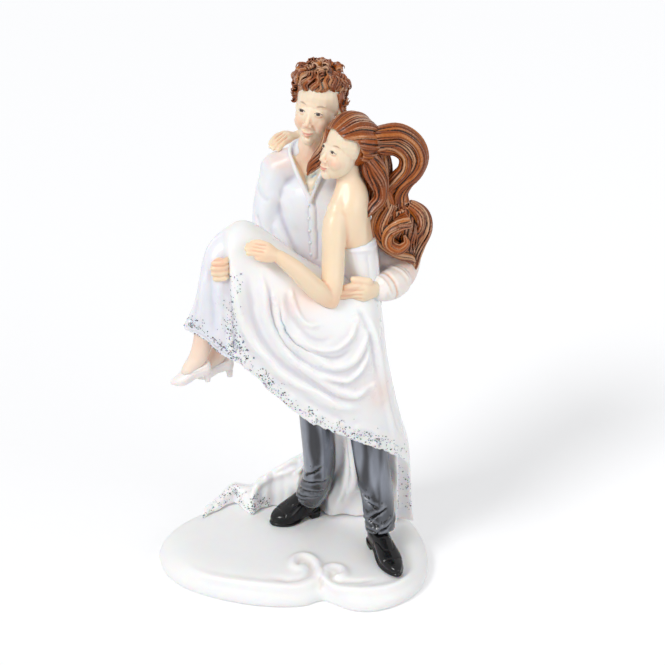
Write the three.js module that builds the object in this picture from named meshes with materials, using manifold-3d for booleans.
// Wedding cake topper: a groom carries his bride, on a heart-shaped scrolled base.
// Millimetres. +Z is up, +X is to the right and -Y is the front. The origin is on
// the underside of the base, under the point that the places below start from.

import * as THREE from 'three';
import { LoftGeometry } from 'three/addons/geometries/LoftGeometry.js';
import { mergeVertices } from 'three/addons/utils/BufferGeometryUtils.js';
import Module from 'manifold-3d';

const wasm = await Module();
wasm.setup();

// Sizes of the whole

const baseWidth = 79;
const baseDepth = 67;
const baseThickness = 7;
const figureHeight = 142; // base top to the top of the groom's hair
const clearance = 0.3; // between two painted castings that meet

// Sizes of the base's scrolls

const scroll = { ridgeRadius: 0.9, leftCurl: 4.2, rightCurl: 3.4, eye: 0.7, sunk: 0.2 };
const scrollTurnShare = 1.3; // of a full turn, from the eye out to the tail

// The sizes of the figures are shares of the figure height, so that they grow with it.

// Sizes of the groom

const groomHeadSizeShares = { halfWidth: 0.0444, halfDepth: 0.0535, halfHeight: 0.0732, nose: 0.0077 };
const groomHairSizeShares = {
  halfWidth: 0.0535, halfDepth: 0.0648, halfHeight: 0.0592, lift: 0.0394, back: 0.0099,
  curl: 0.0063,
};
const groomSkinShares = {
  neck: 0.0289, throat: 0.0324, breastbone: 0.0106, wrist: 0.0155, palm: 0.0183, finger: 0.012,
};
const shirtShares = {
  collarHalf: 0.0366, shoulderHalf: 0.0845, chestHalf: 0.0859, ribsHalf: 0.0789, waistHalf: 0.0676,
  pelvisHalf: 0.0732, collarDeep: 0.0324, shoulderDeep: 0.0479, chestDeep: 0.062, ribsDeep: 0.0592,
  waistDeep: 0.0535, pelvisDeep: 0.0563, placketHalf: 0.0085, placketRaised: 0.0035,
  buttonRadius: 0.0039,
};
const sleeveShares = {
  shoulder: 0.0345, bicep: 0.0317, elbow: 0.0289, forearm: 0.0261, cuff: 0.0254, cuffLong: 0.0366,
  cuffRaised: 0.0035,
};
const trouserShares = {
  hip: 0.0521, knee: 0.0373, shin: 0.0359, calf: 0.0345, hem: 0.0324, hemDeep: 0.0296,
};
const groomShoeShares = {
  halfWidth: 0.0232, toeHigh: 0.0162, vampHigh: 0.038, sole: 0.0056, welt: 0.0028,
  heelLong: 0.0324, heelHigh: 0.0099,
};

// Sizes of the bride

const brideHeadSizeShares = { halfWidth: 0.0401, halfDepth: 0.0486, halfHeight: 0.0592, nose: 0.007 };
const brideSkinShares = {
  neck: 0.0204, shoulder: 0.0246, bicep: 0.0239, elbow: 0.0204, wrist: 0.0141, palm: 0.0169,
  finger: 0.012,
};
const brideBodyShares = {
  shoulderHalf: 0.0268, shoulderDeep: 0.0493, bustHalf: 0.038, bustDeep: 0.0465, pegHalf: 0.0211,
  pegDeep: 0.0254, ribsHalf: 0.0366, ribsDeep: 0.0437, waistHalf: 0.0338, waistDeep: 0.0408,
};
const brideLegShares = { calf: 0.0197, ankle: 0.0134, instep: 0.0148 };
const pumpShares = {
  halfWidth: 0.0162, toeHigh: 0.0099, vampHigh: 0.0183, archHigh: 0.0169, sole: 0.0042,
  heelRadius: 0.0077, heelTip: 0.0056,
};
const brideHairSizeShares = {
  halfWidth: 0.0486, halfDepth: 0.0549, halfHeight: 0.0577, lift: 0.0169, back: 0.0183,
  ripple: 0.0035, loop: 0.0218, inner: 0.0218, nape: 0.0338, tail: 0.0444, tip: 0.0056,
  sideLock: 0.012, curlEnd: 0.0049,
};

// Sizes of the gown

const gownSizeShares = {
  hemHollow: 0.0493, panelStep: 0.0085, panelBlend: 0.0106, trainRipple: 0.0085, spreadRipple: 0.0025,
};

// The figures' sizes in millimetres

function ofFigure(shares) {
  return Object.fromEntries(Object.entries(shares).map(([name, share]) => [name, share * figureHeight]));
}

const groomHeadSize = ofFigure(groomHeadSizeShares);
const groomHairSize = ofFigure(groomHairSizeShares);
const groomSkin = ofFigure(groomSkinShares);
const shirt = ofFigure(shirtShares);
const sleeve = ofFigure(sleeveShares);
const trouser = ofFigure(trouserShares);
const groomShoe = ofFigure(groomShoeShares);
const brideHeadSize = ofFigure(brideHeadSizeShares);
const brideSkin = ofFigure(brideSkinShares);
const brideBody = ofFigure(brideBodyShares);
const brideLeg = ofFigure(brideLegShares);
const pump = ofFigure(pumpShares);
const brideHairSize = ofFigure(brideHairSizeShares);
const gown = ofFigure(gownSizeShares);

// Counts of repeated parts, and those that set how fine the surfaces are

const counts = {
  limbSides: 8, limbSteps: 5, armSteps: 4, sleeveSteps: 8, legSteps: 9, cuffSteps: 3, neckSteps: 6,
  bodySides: 12, bodySteps: 8, shirtSides: 14, placketSides: 6, placketSteps: 3, buttonSides: 6,
  headSides: 16, capSides: 18, ballRows: 12, lockSides: 8, loopSteps: 14, curlSteps: 9,
  shoeSides: 10, spikeSides: 6, outlineSteps: 42, eyeSteps: 14, ridgeSteps: 22, ridgeSides: 5,
  trainSides: 44, spreadSides: 20, gownSteps: 4, trainSteps: 2, buttons: 5,
  spreadFolds: 5,
  backPoints: 6, // round the back of the skirt
  frontPoints: 26, // down its folded front
};

// Places in shares of the figure height, from the middle of the base's top: right, back, up

const placeShares = {
  groomHead: [0.051, -0.021, 0.902],
  groomNeckTop: [0.044, -0.018, 0.852],
  groomNeckBase: [0.036, -0.010, 0.789],
  groomThroat: [0.035, -0.043, 0.771],
  groomBreastbone: [0.037, -0.068, 0.738],
  groomCollar: [0.037, -0.008, 0.826],
  groomShoulders: [0.052, -0.002, 0.782],
  groomChest: [0.054, -0.012, 0.725],
  groomRibs: [0.061, -0.020, 0.662],
  groomWaist: [0.072, -0.023, 0.599],
  groomPelvis: [0.085, -0.028, 0.528],
  placketEnd: [0.042, -0.080, 0.630],
  groomShoulderRight: [-0.030, 0.001, 0.788],
  groomBicepRight: [-0.044, -0.011, 0.725],
  groomElbowRight: [-0.054, -0.031, 0.651],
  groomForearmRight: [-0.095, -0.099, 0.625],
  groomCuffRight: [-0.121, -0.155, 0.630],
  groomWristRight: [-0.128, -0.187, 0.638],
  groomHandRight: [-0.130, -0.210, 0.667],
  groomFingersRight: [-0.126, -0.212, 0.684],
  groomShoulderLeft: [0.146, -0.003, 0.785],
  groomBicepLeft: [0.183, -0.004, 0.718],
  groomElbowLeft: [0.216, -0.023, 0.637],
  groomForearmLeft: [0.212, -0.065, 0.600],
  groomCuffLeft: [0.187, -0.111, 0.593],
  groomWristLeft: [0.162, -0.145, 0.596],
  groomHandLeft: [0.131, -0.166, 0.601],
  groomFingersLeft: [0.103, -0.176, 0.603],
  hipRight: [0.056, -0.021, 0.514],
  kneeRight: [0.046, -0.039, 0.310],
  shinRight: [0.052, -0.039, 0.190],
  calfRight: [0.049, -0.032, 0.120],
  hemRight: [0.031, -0.018, 0.078],
  hipLeft: [0.120, -0.028, 0.514],
  kneeLeft: [0.144, -0.077, 0.289],
  shinLeft: [0.159, -0.087, 0.176],
  calfLeft: [0.169, -0.090, 0.106],
  hemLeft: [0.175, -0.099, 0.048],
  heelRight: [0.045, 0.034, 0],
  toeRight: [-0.047, -0.017, 0],
  heelLeft: [0.163, -0.074, 0],
  toeLeft: [0.208, -0.206, 0],
  brideHead: [0.103, -0.099, 0.856],
  brideNeckTop: [0.097, -0.099, 0.810],
  brideNeckBase: [0.108, -0.099, 0.768],
  brideShoulders: [0.116, -0.099, 0.735],
  brideBust: [0.118, -0.103, 0.690],
  brideRibs: [0.127, -0.107, 0.648],
  brideWaist: [0.132, -0.110, 0.609],
  brideShoulderNear: [0.090, -0.136, 0.734],
  brideBicepNear: [0.081, -0.166, 0.664],
  brideElbowNear: [0.074, -0.194, 0.598],
  brideForearmNear: [0.029, -0.213, 0.646],
  brideWristNear: [-0.023, -0.219, 0.696],
  brideHandNear: [-0.052, -0.218, 0.710],
  brideFingersNear: [-0.078, -0.208, 0.718],
  brideShoulderFar: [0.101, -0.059, 0.749],
  brideElbowFar: [0.144, 0.035, 0.813],
  brideForearmFar: [0.082, 0.060, 0.821],
  brideWristFar: [0.011, 0.046, 0.832],
  brideHandFar: [-0.021, 0.021, 0.842],
  brideFingersFar: [-0.045, -0.006, 0.838],
  brideCalfNear: [-0.154, -0.180, 0.560],
  brideAnkleNear: [-0.166, -0.192, 0.490],
  brideInstepNear: [-0.182, -0.201, 0.470],
  brideHeelNear: [-0.150, -0.196, 0.427],
  brideToeNear: [-0.225, -0.211, 0.430],
  brideCalfFar: [-0.113, -0.148, 0.560],
  brideAnkleFar: [-0.126, -0.155, 0.483],
  brideInstepFar: [-0.142, -0.159, 0.463],
  brideHeelFar: [-0.112, -0.154, 0.418],
  brideToeFar: [-0.187, -0.168, 0.424],
};

const hairShares = {
  loop: [
    [0.113, -0.106, 0.911], [0.146, -0.099, 0.897], [0.179, -0.088, 0.882], [0.209, -0.077, 0.873],
    [0.230, -0.070, 0.849], [0.231, -0.070, 0.820], [0.214, -0.074, 0.794], [0.198, -0.077, 0.769],
    [0.204, -0.077, 0.740],
  ],
  inner: [
    [0.131, -0.120, 0.881], [0.153, -0.113, 0.856], [0.161, -0.106, 0.827], [0.156, -0.106, 0.795],
    [0.147, -0.113, 0.771], [0.128, -0.127, 0.752],
  ],
  nape: [[0.150, -0.085, 0.821], [0.173, -0.085, 0.782], [0.181, -0.085, 0.742], [0.185, -0.085, 0.702]],
  tail: [
    [0.200, -0.077, 0.750], [0.208, -0.077, 0.720], [0.220, -0.074, 0.688], [0.225, -0.070, 0.654],
    [0.236, -0.063, 0.600],
  ],
  sideLock: [[0.066, -0.098, 0.870], [0.049, -0.100, 0.844], [0.036, -0.099, 0.830], [0.028, -0.096, 0.814]],
};

// Plan of the base, in shares of its width and depth: anticlockwise from the left

const baseOutlineShares = [
  [-0.508, -0.113], [-0.486, -0.242], [-0.434, -0.342], [-0.357, -0.413], [-0.265, -0.466], [-0.156, -0.506],
  [-0.048, -0.522], [0.042, -0.512], [0.101, -0.475], [0.148, -0.504], [0.205, -0.546], [0.272, -0.557],
  [0.344, -0.530], [0.418, -0.463], [0.466, -0.373], [0.490, -0.261], [0.492, -0.134], [0.473, 0],
  [0.424, 0.142], [0.342, 0.276], [0.234, 0.381], [0.114, 0.430], [-0.013, 0.410], [-0.139, 0.337],
  [-0.266, 0.239], [-0.380, 0.130], [-0.468, 0.015],
];

// The rim, from the underside up: share of the outline, share of the thickness

const rimShares = [
  [0.972, 0], [0.992, 0.06], [1, 0.2], [0.99, 0.42], [0.955, 0.66], [0.9, 0.84], [0.82, 0.95], [0.72, 1],
];

// The scrolls' eyes and tails on the base, in shares of its width and depth. A tail runs
// down the rim to a share of the base's height, and its last points are thinner.

const scrollShares = {
  leftEye: [0.036, -0.336],
  leftTail: [[0.052, -0.420], [0.010, -0.458], [-0.070, -0.476], [-0.170, -0.462], [-0.270, -0.420]],
  leftStart: 0.1, // of a full turn
  rightEye: [0.150, -0.405],
  rightTail: [[0.130, -0.436], [0.176, -0.478], [0.238, -0.500], [0.310, -0.486], [0.380, -0.430]],
  rightStart: 0.3,
  tailHeight: 0.78,
  thinEnd: 0.6, // of the ridge's radius
};

// Sections of the gown, left to right, in shares of the figure height:
// right, front face, back face, top edge, hem edge

const gownShares = [
  [-0.199, -0.200, -0.188, 0.549, 0.535], [-0.190, -0.208, -0.172, 0.562, 0.533],
  [-0.176, -0.215, -0.150, 0.598, 0.528], [-0.156, -0.222, -0.127, 0.686, 0.516],
  [-0.127, -0.224, -0.106, 0.722, 0.486], [-0.085, -0.227, -0.082, 0.738, 0.462],
  [-0.035, -0.231, -0.063, 0.706, 0.410], [0.021, -0.232, -0.054, 0.658, 0.358],
  [0.077, -0.225, -0.049, 0.626, 0.325], [0.134, -0.206, -0.046, 0.609, 0.290],
  [0.160, -0.194, -0.043, 0.585, 0.273], [0.172, -0.186, -0.042, 0.540, 0.266],
  [0.182, -0.178, -0.042, 0.454, 0.258], [0.192, -0.170, -0.042, 0.394, 0.250],
  [0.204, -0.158, -0.045, 0.335, 0.238], [0.218, -0.144, -0.053, 0.278, 0.221],
  [0.231, -0.132, -0.070, 0.230, 0.208],
];

// Folds pressed and raised on the skirt's front, in shares of the figure height: how wide,
// how high, and the points of their lines, right and up

const foldLineShares = [
  [0.0106, 0.0081, [
    [-0.102, 0.697], [-0.099, 0.630], [-0.092, 0.581], [-0.070, 0.528], [-0.042, 0.493],
    [-0.011, 0.458], [0.042, 0.423], [0.092, 0.387], [0.141, 0.373],
  ]],
  [0.0078, 0.0070, [
    [-0.056, 0.680], [-0.049, 0.627], [-0.042, 0.574], [-0.021, 0.521], [0.011, 0.486],
    [0.049, 0.454], [0.092, 0.419], [0.127, 0.408], [0.155, 0.433],
  ]],
  [0.0070, 0.0067, [
    [-0.032, 0.648], [-0.021, 0.581], [0, 0.535], [0.035, 0.500], [0.074, 0.475],
    [0.113, 0.479], [0.137, 0.514], [0.148, 0.542],
  ]],
  [0.0063, 0.0053, [
    [-0.018, 0.630], [-0.011, 0.570], [0.011, 0.535], [0.049, 0.514], [0.085, 0.511],
    [0.113, 0.532], [0.134, 0.570],
  ]],
  [0.0092, -0.0077, [
    [-0.081, 0.683], [-0.074, 0.620], [-0.067, 0.570], [-0.046, 0.518], [-0.018, 0.482],
    [0.028, 0.444], [0.077, 0.408], [0.120, 0.391],
  ]],
  [0.0063, -0.0063, [[-0.041, 0.648], [-0.032, 0.577], [-0.013, 0.525], [0.021, 0.489], [0.063, 0.456]]],
  [0.0078, -0.0092, [[-0.123, 0.704], [-0.117, 0.648], [-0.111, 0.592], [-0.106, 0.528], [-0.101, 0.490]]],
  [0.0078, 0.0050, [[0.158, 0.570], [0.169, 0.500], [0.176, 0.430], [0.190, 0.345], [0.208, 0.261]]],
];

// The panel over her lower legs starts left of this. A section's faces: how the front's
// points are spaced, how round the back is, how far the front is tucked, and room for folds

const panelShares = { right: -0.112 };
const gownFaceShares = { spacing: 1.15, backPower: 0.7, frontTuck: 0.06, room: 0.25 };

// Sections of the train, base to gown: right, back, half width, half depth, up

const trainShares = [
  [0.078, 0.078, 0.158, 0.044, 0.003], [0.092, 0.066, 0.138, 0.049, 0.038],
  [0.116, 0.040, 0.110, 0.060, 0.092], [0.130, 0.018, 0.092, 0.066, 0.150],
  [0.132, 0.002, 0.086, 0.068, 0.230], [0.120, -0.006, 0.076, 0.062, 0.310],
  [0.116, -0.014, 0.066, 0.056, 0.380], [0.120, -0.030, 0.046, 0.046, 0.450],
  [0.128, -0.048, 0.026, 0.030, 0.500],
];
const trainSkewShare = 0.25; // how far its right side comes forward, of the way to the right

// The train's folds grow from this height down: how many go round it, how high, where they start

const trainFoldShares = { top: 0.42, grown: 0.3, waves: [[7, 1, 0.05], [11, 0.7, 0.3], [4, 0.8, 0.2]] };

// The train's spread over the base: right, front, back, top, right to left

const spreadShares = [
  [0.030, 0.046, 0.114, 0.120], [-0.023, 0.056, 0.112, 0.090], [-0.060, 0.062, 0.112, 0.070],
  [-0.078, 0.044, 0.112, 0.060], [-0.095, 0.024, 0.110, 0.044], [-0.118, 0.058, 0.108, 0.040],
  [-0.138, 0.072, 0.106, 0.040], [-0.161, 0.050, 0.090, 0.024], [-0.196, 0.012, 0.056, 0.010],
];

// A limb's round end: share of its radius across, share ahead of the path's end

const capShares = [[0.8, 0.6], [0.44, 0.9]];

// How a head narrows below its middle, and where its nose is on it

const headShapeShares = { jaw: 0.34, nape: 0.3, face: 0.08, noseWide: 0.22, noseLow: 0.16, noseTall: 0.2 };

// A hand's width and depth for its radius, and a cuff's start and narrow end

const handShares = { wide: 1.15, deep: 0.8 };
const cuffShares = { before: 0.3, end: 0.9 };

// The placket's points from the breastbone to its end, and how far a button stands out of it

const placketShares = [0, 0.5, 1];
const buttonShare = 0.7;

// Shoes, from the heel to the toe: half widths. The rest are shares of their own sizes.

const shoeHalfWidthShares = [0.62, 0.8, 0.86, 0.8, 0.84, 1, 0.98, 0.8, 0.5];
const shoeShapeShares = {
  flatBelow: 1.6, soleTop: 1.4, heelWide: 1.2, archLow: 0.9, archTop: 2, spikeBack: 1.3,
};

// Waves in the hair: how fast they run to the right, back and up over a head

const curlWaves = [[9, 0, 4], [0, 8, -5], [0, 6, 11]];
const curlShare = 0.6; // of the curl's size for one wave
const crownWave = [16, 0, 5];

// How the round limbs' sections lean back, as a rise for each step away

const limbLean = 0.4;

// How the two heads are turned, in shares of a full turn: to the viewer's left, nod up,
// roll to the right

const fullTurn = 2 * Math.PI;
const headTurnShares = { groom: [0.056, 0.006, 0.033], bride: [0.156, 0.028, 0.022] };


const colours = {
  ivory: 0xf6f1ec, pearl: 0xfbf8f6, shirt: 0xf3efee, skin: 0xf8d9b4, brown: 0x7a4128,
  charcoal: 0x45464b, black: 0x17171a,
};

// Helpers

const up = new THREE.Vector3(0, 0, 1);
const away = new THREE.Vector3(0, 1, 0);

function fromShares([right, back, high]) {
  return new THREE.Vector3(right, back, high).multiplyScalar(figureHeight).addScaledVector(up, baseThickness);
}

function place(name) {
  return fromShares(placeShares[name]);
}

function places(...names) {
  return names.map(place);
}

function onBase([right, back], high) {
  return new THREE.Vector3(right * baseWidth, back * baseDepth, high);
}

// A closed geometry as a solid that can be joined and cut

function solid(geometry) {
  const bare = new THREE.BufferGeometry();
  bare.setAttribute('position', geometry.attributes.position);
  bare.setIndex(geometry.index);
  const merged = mergeVertices(bare);
  const mesh = new wasm.Mesh({
    numProp: 3,
    vertProperties: new Float32Array(merged.attributes.position.array),
    triVerts: new Uint32Array(merged.index.array),
  });
  return new wasm.Manifold(mesh);
}

function join(...solids) {
  return solids.reduce((whole, next) => whole.add(next));
}

function smooth(values, share) {
  const last = values.length - 1;
  const at = Math.min(share * last, last - Number.EPSILON * last);
  const i = Math.min(Math.floor(at), last - 1);
  const t = at - i;
  return values[i] + (values[i + 1] - values[i]) * t * t * (3 - 2 * t);
}

function ring(centre, side, rise, halfWide, halfDeep, sides) {
  return Array.from({ length: sides }, (_, k) => {
    const angle = (k / sides) * fullTurn;
    return centre
      .clone()
      .addScaledVector(side, Math.cos(angle) * halfWide)
      .addScaledVector(rise, Math.sin(angle) * halfDeep);
  });
}

// A round-ended limb along a smooth path. Widths lie across the path and the
// reference direction, depths lie along the reference direction.

const { limbSteps, limbSides } = counts;

function limb(path, widths, depths, grow, steps = limbSteps, sides = limbSides, reference = away) {
  const curve = new THREE.CatmullRomCurve3(path, false, 'centripetal');
  const sections = [];
  const section = (share, capShare, ahead) => {
    const tangent = curve.getTangent(share);
    const side = new THREE.Vector3().crossVectors(reference, tangent).normalize();
    const rise = new THREE.Vector3().crossVectors(tangent, side);
    const wide = smooth(widths, share) + grow;
    const deep = smooth(depths, share) + grow;
    const centre = curve.getPoint(share).addScaledVector(tangent, ahead * Math.min(wide, deep));
    sections.push(ring(centre, side, rise, wide * capShare, deep * capShare, sides));
  };
  for (const [across, ahead] of [...capShares].reverse()) section(0, across, -ahead);
  for (let i = 0; i <= steps; i++) section(i / steps, 1, 0);
  for (const [across, ahead] of capShares) section(1, across, ahead);
  return solid(new LoftGeometry(sections, { capStart: true, capEnd: true }));
}

function roundLimb(path, radii, grow, steps, sides) {
  const leaning = away.clone().addScaledVector(up, limbLean).normalize();
  return limb(path, radii, radii, grow, steps, sides, leaning);
}

function ball(centre, radius, sides) {
  const geometry = new THREE.SphereGeometry(radius, sides, sides / 2);
  geometry.rotateX(Math.PI / 2);
  geometry.translate(centre.x, centre.y, centre.z);
  return solid(geometry);
}

function turned(geometry, [turn, nod, roll], centre) {
  geometry.rotateX(-nod * fullTurn);
  geometry.rotateY(roll * fullTurn);
  geometry.rotateZ(-turn * fullTurn);
  geometry.translate(centre.x, centre.y, centre.z);
  return geometry;
}

// A sphere whose points are moved by a rule and then put in place

function shapedBall(size, grow, rule, turns, centre, sides) {
  const geometry = new THREE.SphereGeometry(1, sides, counts.ballRows);
  geometry.rotateX(Math.PI / 2);
  const points = geometry.attributes.position;
  const point = new THREE.Vector3();
  for (let i = 0; i < points.count; i++) {
    point.fromBufferAttribute(points, i);
    const unit = point.clone();
    point.set(
      unit.x * (size.halfWidth + grow),
      unit.y * (size.halfDepth + grow),
      unit.z * (size.halfHeight + grow),
    );
    rule(point, unit);
    points.setXYZ(i, point.x, point.y, point.z);
  }
  return solid(turned(geometry, turns, centre));
}

// The base

function baseRing([outlineShare, heightShare]) {
  const outline = new THREE.CatmullRomCurve3(baseOutlineShares.map((p) => onBase(p, 0)), true);
  return outline.getPoints(counts.outlineSteps).slice(1).map((p) => {
    p.multiplyScalar(outlineShare);
    p.z = baseThickness * heightShare;
    return p;
  });
}

function scrollRidge(eyeShare, tailShares, curlRadius, turnWay, startShare) {
  const eye = onBase(eyeShare, 0);
  const ridgeTop = baseThickness - scroll.sunk;
  const curl = Array.from({ length: counts.eyeSteps }, (_, k) => {
    const share = k / (counts.eyeSteps - 1);
    const angle = (startShare + turnWay * share * scrollTurnShare) * fullTurn;
    const radius = scroll.eye + (curlRadius - scroll.eye) * share;
    const out = new THREE.Vector3(Math.cos(angle), Math.sin(angle), 0).multiplyScalar(radius);
    return out.add(eye).setZ(ridgeTop);
  });
  const tail = tailShares.map((p, k) => {
    const down = Math.min(1, (k + 1) / 2);
    return onBase(p, ridgeTop * (1 - (1 - scrollShares.tailHeight) * down));
  });
  const path = [...curl, ...tail];
  const radii = path.map((_, k) => scroll.ridgeRadius * (k > path.length - 3 ? scrollShares.thinEnd : 1));
  return limb(path, radii, radii, 0, counts.ridgeSteps, counts.ridgeSides, up);
}

function base() {
  const plate = solid(new LoftGeometry(rimShares.map(baseRing), { capStart: true, capEnd: true }));
  const { leftEye, leftTail, leftStart, rightEye, rightTail, rightStart } = scrollShares;
  const left = scrollRidge(leftEye, leftTail, scroll.leftCurl, -1, leftStart);
  const right = scrollRidge(rightEye, rightTail, scroll.rightCurl, 1, rightStart);
  return join(plate, left, right);
}

// Everything over the base stays above its top

function aboveBase(body) {
  const room = new THREE.BoxGeometry(baseWidth * 2, baseDepth * 2, baseThickness * 2);
  room.translate(0, 0, clearance);
  return body.subtract(solid(room));
}

// Heads

function head(size, turns, centre) {
  const { jaw, nape, face, noseWide, noseLow, noseTall } = headShapeShares;
  const shape = (point, unit) => {
    const low = Math.max(0, -unit.z);
    const nose = Math.exp(-((unit.x / noseWide) ** 2) - ((unit.z + noseLow) / noseTall) ** 2);
    point.x *= 1 - jaw * low * low;
    point.y *= 1 - (unit.y > 0 ? nape : face) * low;
    if (unit.y < 0) point.y -= size.nose * nose;
  };
  return (grow) => shapedBall(size, grow, shape, turns, centre, counts.headSides);
}

function groomNeck(grow) {
  const path = places('groomNeckTop', 'groomNeckBase', 'groomThroat', 'groomBreastbone');
  const radii = [groomSkin.neck, groomSkin.neck, groomSkin.throat, groomSkin.breastbone];
  return limb(path, radii, radii, grow, counts.neckSteps);
}

// The groom's hair is a cap of short curls

function wave(unit, [right, back, high]) {
  return unit.x * right + unit.y * back + unit.z * high;
}

function groomHair(grow) {
  const turns = headTurnShares.groom;
  const [, , roll] = turns;
  const lifted = new THREE.Vector3(0, groomHairSize.back, groomHairSize.lift);
  const offset = lifted.applyEuler(new THREE.Euler(0, roll * fullTurn, 0));
  const shape = (point, unit) => {
    const [first, second, third] = curlWaves.map((row) => wave(unit, row));
    const curls = Math.abs(Math.sin(first) * Math.cos(second)) + Math.abs(Math.sin(third));
    point.addScaledVector(unit, groomHairSize.curl * curlShare * curls);
  };
  return shapedBall(groomHairSize, grow, shape, turns, place('groomHead').add(offset), counts.capSides);
}

function hand(skin, ...names) {
  const radii = [skin.wrist, skin.palm, skin.finger];
  const widths = radii.map((r) => r * handShares.wide);
  const depths = radii.map((r) => r * handShares.deep);
  return (grow) => limb(places(...names), widths, depths, grow);
}

// The groom's clothes

function shirtBody(grow) {
  const path = places(
    'groomPelvis', 'groomWaist', 'groomRibs', 'groomChest', 'groomShoulders', 'groomCollar',
  );
  const { pelvisHalf, waistHalf, ribsHalf, chestHalf, shoulderHalf, collarHalf } = shirt;
  const { pelvisDeep, waistDeep, ribsDeep, chestDeep, shoulderDeep, collarDeep } = shirt;
  const widths = [pelvisHalf, waistHalf, ribsHalf, chestHalf, shoulderHalf, collarHalf];
  const depths = [pelvisDeep, waistDeep, ribsDeep, chestDeep, shoulderDeep, collarDeep];
  return limb(path, widths, depths, grow, counts.bodySteps, counts.shirtSides);
}

function shirtFront(share) {
  const point = place('groomBreastbone').lerp(place('placketEnd'), share);
  const centre = place('groomChest').lerp(place('groomRibs'), share);
  const half = THREE.MathUtils.lerp(shirt.chestHalf, shirt.ribsHalf, share);
  const deep = THREE.MathUtils.lerp(shirt.chestDeep, shirt.ribsDeep, share);
  point.y = centre.y - deep * Math.sqrt(1 - ((point.x - centre.x) / half) ** 2);
  return point;
}

function placket() {
  const path = placketShares.map(shirtFront);
  const widths = path.map(() => shirt.placketHalf);
  const depths = path.map(() => shirt.placketRaised);
  return limb(path, widths, depths, 0, counts.placketSteps, counts.placketSides);
}

function buttons() {
  const end = placketShares.at(-1);
  return Array.from({ length: counts.buttons }, (_, k) => {
    const middle = (k + (k + 1)) / 2;
    const centre = shirtFront((end * middle) / counts.buttons);
    centre.y -= shirt.placketRaised * buttonShare;
    return ball(centre, shirt.buttonRadius, counts.buttonSides);
  });
}

function groomShirt(grow) {
  return grow > 0 ? shirtBody(grow) : join(shirtBody(0), placket(), ...buttons());
}

function sleeveArm(...names) {
  const radii = [sleeve.shoulder, sleeve.bicep, sleeve.elbow, sleeve.forearm, sleeve.cuff];
  return (grow) => roundLimb(places(...names), radii, grow, counts.sleeveSteps);
}

function cuff(fromName, toName) {
  const from = place(fromName);
  const along = place(toName).sub(from).setLength(sleeve.cuffLong);
  const start = from.clone().addScaledVector(along, -cuffShares.before);
  const end = start.clone().add(along);
  const radius = sleeve.cuff + sleeve.cuffRaised;
  return (grow) => roundLimb([start, end], [radius, radius * cuffShares.end], grow, counts.cuffSteps);
}

function trouserLeg(...names) {
  const widths = [trouser.hip, trouser.knee, trouser.shin, trouser.calf, trouser.hem];
  const depths = [trouser.hip, trouser.knee, trouser.shin, trouser.calf, trouser.hemDeep];
  return (grow) => limb(places(...names), widths, depths, grow, counts.legSteps);
}

// A shoe in its own frame runs from the heel at zero along +X

function shoeSection(along, half, low, high) {
  const sides = counts.shoeSides;
  return Array.from({ length: sides }, (_, k) => {
    const angle = (k / sides) * fullTurn;
    const rise = Math.max(Math.sin(angle) * (Math.sin(angle) < 0 ? shoeShapeShares.flatBelow : 1), -1);
    const z = (low + high) / 2 + (rise * (high - low)) / 2;
    return new THREE.Vector3(along, Math.cos(angle) * half, z);
  });
}

function shoeLoft(long, halfWidth, lows, highs, grow) {
  const last = shoeHalfWidthShares.length - 1;
  const sections = shoeHalfWidthShares.map((share, k) => {
    const along = (k / last) * (long + 2 * grow) - grow;
    const low = smooth(lows, k / last) - grow;
    const high = smooth(highs, k / last) + grow;
    return shoeSection(along, share * halfWidth + grow, low, high);
  });
  return solid(new LoftGeometry(sections, { capStart: true, capEnd: true }));
}

function putShoe(body, heel, toe) {
  const along = toe.clone().sub(heel);
  const turn = THREE.MathUtils.radToDeg(Math.atan2(along.y, along.x));
  const pitch = THREE.MathUtils.radToDeg(-Math.atan2(along.z, Math.hypot(along.x, along.y)));
  return body.rotate([0, pitch, turn]).translate([heel.x, heel.y, heel.z]);
}

function dressShoe(heelName, toeName) {
  const heel = place(heelName).addScaledVector(up, clearance);
  const toe = place(toeName).addScaledVector(up, clearance);
  const long = heel.distanceTo(toe);
  const { halfWidth, toeHigh, vampHigh, sole, welt, heelHigh, heelLong } = groomShoe;
  const lift = sole + heelHigh;
  const upperTops = [vampHigh + lift, vampHigh + lift, vampHigh, toeHigh + sole, toeHigh];
  const soleLows = [heelHigh, heelHigh, 0, 0];
  const soleTops = soleLows.map((z) => z + sole * shoeShapeShares.soleTop);
  return (grow) => {
    const upper = shoeLoft(long, halfWidth, [lift, lift, sole, sole], upperTops, grow);
    const under = shoeLoft(long, halfWidth + welt, soleLows, soleTops, grow);
    const blockWide = halfWidth * shoeShapeShares.heelWide;
    const block = new THREE.BoxGeometry(heelLong + grow, blockWide + grow, lift + grow);
    block.translate(heelLong / 2, 0, lift / 2);
    return putShoe(join(upper, under, solid(block)), heel, toe);
  };
}

function bridePump(heelName, toeName) {
  const heel = place(heelName);
  const toe = place(toeName);
  const long = heel.distanceTo(toe);
  const { halfWidth, toeHigh, vampHigh, archHigh, sole, heelRadius, heelTip } = pump;
  const { archLow, archTop, spikeBack } = shoeShapeShares;
  const lows = [archHigh, archHigh * archLow, 0, 0];
  const highs = [archHigh + vampHigh, archHigh + sole * archTop, vampHigh, toeHigh];
  return (grow) => {
    const tall = archHigh + sole;
    const spike = new THREE.CylinderGeometry(heelRadius + grow, heelTip + grow, tall, counts.spikeSides);
    spike.rotateX(Math.PI / 2);
    spike.translate(heelRadius * spikeBack, 0, tall / 2);
    return putShoe(join(shoeLoft(long, halfWidth, lows, highs, grow), solid(spike)), heel, toe);
  };
}

// The bride

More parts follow.
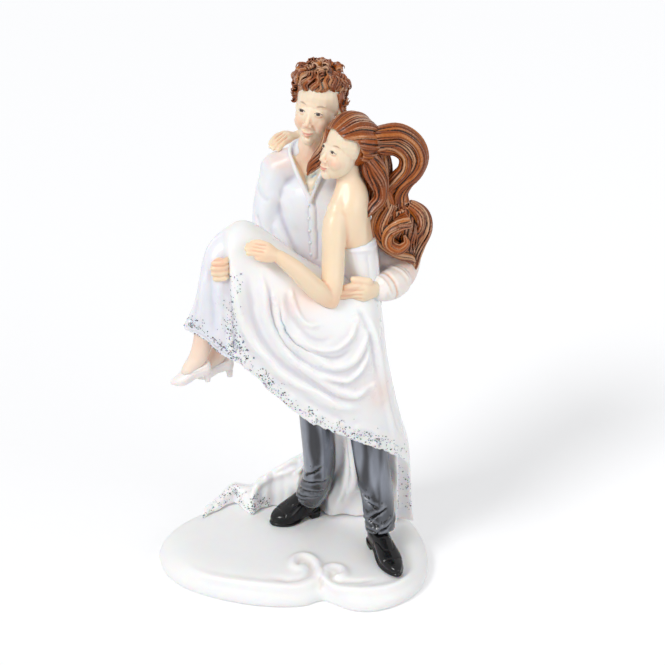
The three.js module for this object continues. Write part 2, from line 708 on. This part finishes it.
function brideTorso(grow) {
  const path = places('brideRibs', 'brideBust', 'brideShoulders', 'brideNeckBase', 'brideNeckTop');
  const { pegHalf, bustHalf, shoulderHalf, pegDeep, bustDeep, shoulderDeep } = brideBody;
  const widths = [pegHalf, bustHalf, shoulderHalf, brideSkin.neck, brideSkin.neck];
  const depths = [pegDeep, bustDeep, shoulderDeep, brideSkin.neck, brideSkin.neck];
  return limb(path, widths, depths, grow, counts.legSteps, counts.bodySides);
}

function brideArm(upperNames, lowerNames) {
  const upperRadii = [brideSkin.shoulder, brideSkin.bicep, brideSkin.elbow];
  const lowerRadii = [brideSkin.elbow, brideSkin.elbow, brideSkin.wrist];
  return (grow) => join(
    roundLimb(places(...upperNames), upperRadii, grow, counts.armSteps),
    roundLimb(places(...lowerNames), lowerRadii, grow, counts.armSteps),
  );
}

function brideBodice(grow) {
  const path = places('brideWaist', 'brideRibs', 'brideBust');
  const widths = [brideBody.waistHalf, brideBody.ribsHalf, brideBody.bustHalf];
  const depths = [brideBody.waistDeep, brideBody.ribsDeep, brideBody.bustDeep];
  return limb(path, widths, depths, grow, counts.bodySteps, counts.bodySides);
}

function brideLegShape(...names) {
  const radii = [brideLeg.calf, brideLeg.ankle, brideLeg.instep];
  return (grow) => roundLimb(places(...names), radii, grow);
}

// The skirt hangs from the knees on the left and the waist on the right. Its folds are
// swags that follow the lines of the surface, which sag between those two places.

function foldLift(right, high) {
  const point = new THREE.Vector3(right, 0, high);
  const near = new THREE.Vector3();
  return foldLineShares.reduce((lift, [wide, tall, line]) => {
    const gaps = line.slice(1).map(([toRight, toHigh], k) => {
      const from = new THREE.Vector3(line[k][0], 0, line[k][1]);
      const piece = new THREE.Line3(from, new THREE.Vector3(toRight, 0, toHigh));
      return piece.closestPointToPoint(point, true, near).distanceTo(point);
    });
    return lift + tall * Math.exp(-((Math.min(...gaps) / wide) ** 2));
  }, 0) * figureHeight;
}

// Sections are found between the rows of a table, on a smooth curve through each column

function between(rows, share) {
  return rows[0].map((_, column) => {
    const points = rows.map((row, k) => new THREE.Vector2(k, row[column]));
    return new THREE.SplineCurve(points).getPoint(share).y;
  });
}

function sectionsOf(rows, finer, section) {
  const steps = (rows.length - 1) * finer;
  const sections = Array.from({ length: steps + 1 }, (_, i) => section(between(rows, i / steps)));
  return solid(new LoftGeometry(sections, { capStart: true, capEnd: true }));
}

function gownBack(right, middle, deep, centre, tall, room) {
  return Array.from({ length: counts.backPoints }, (_, k) => {
    const angle = Math.PI * (k / (counts.backPoints - 1)) - Math.PI / 2;
    const across = Math.cos(angle) ** gownFaceShares.backPower;
    const rise = Math.sin(angle);
    const point = fromShares([right, middle + across * deep, centre + rise * tall]);
    if (rise < 0) point.z += Math.min(gown.hemHollow, room * 2) * (1 - across * across) * rise * rise;
    return point;
  });
}

function gownFront(right, middle, deep, centre, tall, room) {
  const { spacing, frontTuck } = gownFaceShares;
  const panel = THREE.MathUtils.smoothstep((panelShares.right - right) * figureHeight, 0, gown.panelBlend);
  return Array.from({ length: counts.frontPoints }, (_, k) => {
    const down = (k + 1) / counts.frontPoints;
    const rise = 1 - 2 * down ** spacing;
    const round = rise > 0 ? Math.sqrt(1 - rise ** 2) : 1 - frontTuck * rise ** 2;
    const high = centre + rise * tall;
    const point = fromShares([right, middle - round * deep, high]);
    point.y -= THREE.MathUtils.clamp(foldLift(right, high), -room, room) * round;
    point.y += Math.min(gown.panelStep, room) * panel * round;
    return point;
  });
}

function gownSkirt(grow) {
  const more = grow / figureHeight;
  return sectionsOf(gownShares, counts.gownSteps, ([right, front, back, top, hem]) => {
    const deep = (back - front) / 2 + more;
    const tall = (top - hem) / 2 + more;
    const room = Math.min(deep, tall) * figureHeight * gownFaceShares.room;
    const sizes = [right, (front + back) / 2, deep, (top + hem) / 2, tall, room];
    return [...gownBack(...sizes), ...gownFront(...sizes)];
  });
}

function trainSection([right, back, halfWide, halfDeep, high]) {
  const { top, grown, waves } = trainFoldShares;
  const low = THREE.MathUtils.smoothstep(top - high, 0, grown);
  return Array.from({ length: counts.trainSides }, (_, k) => {
    const angle = (k / counts.trainSides) * fullTurn;
    const folds = waves.map(([times, size, start]) => size * Math.sin(times * angle + start * fullTurn));
    const lift = (low * gown.trainRipple * folds.reduce((sum, one) => sum + one, 0)) / figureHeight;
    const across = Math.cos(angle) * (halfWide + lift);
    const deep = Math.sin(angle) * (halfDeep + lift);
    return fromShares([right + across, back - across * trainSkewShare + deep, high]);
  });
}

function spreadSection([right, front, back, top]) {
  return Array.from({ length: counts.spreadSides }, (_, k) => {
    const angle = (-k / counts.spreadSides) * fullTurn;
    const across = (back + front) / 2 + (Math.cos(angle) * (back - front)) / 2;
    const ripple = Math.sin(angle) > 0 ? gown.spreadRipple * Math.sin(angle * counts.spreadFolds) : 0;
    return fromShares([right, across, top * Math.sin(angle)]).addScaledVector(up, ripple);
  });
}

function gownTrain() {
  const fall = sectionsOf(trainShares, counts.trainSteps, trainSection);
  return aboveBase(join(fall, sectionsOf(spreadShares, counts.trainSteps, spreadSection)));
}

// The bride's hair: a swept cap, two looping curls, the fall behind and its tail

function brideHairCrown(grow) {
  const [turn] = headTurnShares.bride;
  const heading = turn * fullTurn;
  const behind = new THREE.Vector3(Math.sin(heading), Math.cos(heading), 0);
  const centre = place('brideHead').addScaledVector(behind, brideHairSize.back);
  centre.addScaledVector(up, brideHairSize.lift);
  const shape = (point, unit) => {
    point.addScaledVector(unit, brideHairSize.ripple * Math.abs(Math.sin(wave(unit, crownWave))));
  };
  return shapedBall(brideHairSize, grow, shape, headTurnShares.bride, centre, counts.headSides);
}

function curl(pathShares, radii, steps) {
  return (grow) => roundLimb(pathShares.map(fromShares), radii, grow, steps, counts.lockSides);
}

// Materials, one for each painted finish

function finish(color, roughness, metalness = 0) {
  return new THREE.MeshStandardMaterial({ color, roughness, metalness });
}

const finishes = {
  base: finish(colours.ivory, 0.35),
  pearl: finish(colours.pearl, 0.28),
  shirt: finish(colours.shirt, 0.4),
  skin: finish(colours.skin, 0.5),
  hair: finish(colours.brown, 0.4, 0.1),
  trouser: finish(colours.charcoal, 0.3),
  shoe: finish(colours.black, 0.15),
};

// Assembly: each piece gives way, by the clearance, to the pieces made before it

const topper = new THREE.Group();
const made = [];

function meets(a, b) {
  const boxA = a.boundingBox();
  const boxB = b.boundingBox();
  return [0, 1, 2].every((i) => boxA.min[i] < boxB.max[i] && boxB.min[i] < boxA.max[i]);
}

function largest(body) {
  return body.decompose().reduce((best, next) => (next.volume() > best.volume() ? next : best));
}

function piece(name, shape, material) {
  let body = shape(0);
  for (const other of made) if (meets(body, other)) body = body.subtract(other);
  body = largest(body);
  made.push(shape(clearance));
  const { vertProperties, triVerts } = body.getMesh();
  const geometry = new THREE.BufferGeometry();
  geometry.setAttribute('position', new THREE.BufferAttribute(new Float32Array(vertProperties), 3));
  geometry.setIndex(new THREE.BufferAttribute(new Uint32Array(triVerts), 1));
  geometry.computeVertexNormals();
  const mesh = new THREE.Mesh(geometry, material);
  mesh.name = name;
  topper.add(mesh);
}

function skin(name, shape) {
  piece(name, shape, finishes.skin);
}

function hair(name, shape) {
  piece(name, shape, finishes.hair);
}

piece('base', base, finishes.base);
skin('groom_head', head(groomHeadSize, headTurnShares.groom, place('groomHead')));
skin('bride_head', head(brideHeadSize, headTurnShares.bride, place('brideHead')));
skin('groom_neck_and_chest', groomNeck);
skin('bride_hand_left', hand(brideSkin, 'brideWristNear', 'brideHandNear', 'brideFingersNear'));
skin('groom_hand_left', hand(groomSkin, 'groomWristLeft', 'groomHandLeft', 'groomFingersLeft'));
skin('groom_hand_right', hand(groomSkin, 'groomWristRight', 'groomHandRight', 'groomFingersRight'));
skin('bride_hand_right', hand(brideSkin, 'brideWristFar', 'brideHandFar', 'brideFingersFar'));
skin('bride_arm_left', brideArm(
  ['brideShoulderNear', 'brideBicepNear', 'brideElbowNear'],
  ['brideElbowNear', 'brideForearmNear', 'brideWristNear'],
));
skin('bride_torso', brideTorso);
skin('bride_arm_right', brideArm(
  ['brideShoulderFar', 'brideElbowFar'],
  ['brideElbowFar', 'brideForearmFar', 'brideWristFar'],
));
piece('groom_shoe_right', dressShoe('heelRight', 'toeRight'), finishes.shoe);
piece('groom_shoe_left', dressShoe('heelLeft', 'toeLeft'), finishes.shoe);
piece(
  'groom_trouser_right',
  trouserLeg('hipRight', 'kneeRight', 'shinRight', 'calfRight', 'hemRight'),
  finishes.trouser,
);
piece(
  'groom_trouser_left',
  trouserLeg('hipLeft', 'kneeLeft', 'shinLeft', 'calfLeft', 'hemLeft'),
  finishes.trouser,
);
piece('groom_shirt', groomShirt, finishes.shirt);
piece('groom_cuff_left', cuff('groomCuffLeft', 'groomWristLeft'), finishes.shirt);
piece(
  'groom_sleeve_right',
  sleeveArm(
    'groomShoulderRight', 'groomBicepRight', 'groomElbowRight', 'groomForearmRight', 'groomCuffRight',
  ),
  finishes.shirt,
);
piece(
  'groom_sleeve_left',
  sleeveArm('groomShoulderLeft', 'groomBicepLeft', 'groomElbowLeft', 'groomForearmLeft', 'groomCuffLeft'),
  finishes.shirt,
);
piece('bride_pump_left', bridePump('brideHeelNear', 'brideToeNear'), finishes.pearl);
piece('bride_pump_right', bridePump('brideHeelFar', 'brideToeFar'), finishes.pearl);
skin('bride_leg_left', brideLegShape('brideCalfNear', 'brideAnkleNear', 'brideInstepNear'));
skin('bride_leg_right', brideLegShape('brideCalfFar', 'brideAnkleFar', 'brideInstepFar'));
piece('bride_bodice', brideBodice, finishes.pearl);
piece('gown_skirt', gownSkirt, finishes.pearl);
piece('gown_train', gownTrain, finishes.pearl);
hair('groom_hair', groomHair);
hair('bride_hair_crown', brideHairCrown);
const { loop, inner, nape, tail, tip, sideLock, curlEnd } = brideHairSize;
hair('bride_hair_side_lock', curl(hairShares.sideLock, [sideLock, sideLock, curlEnd], counts.limbSteps));
hair('bride_hair_loop', curl(hairShares.loop, [loop, loop, loop], counts.loopSteps));
hair('bride_hair_inner_curl', curl(hairShares.inner, [inner, inner, curlEnd], counts.curlSteps));
hair('bride_hair_nape', curl(hairShares.nape, [nape, nape], counts.limbSteps));
hair('bride_hair_tail', curl(hairShares.tail, [nape, tail, tail, nape, tip], counts.curlSteps));

export default topper;
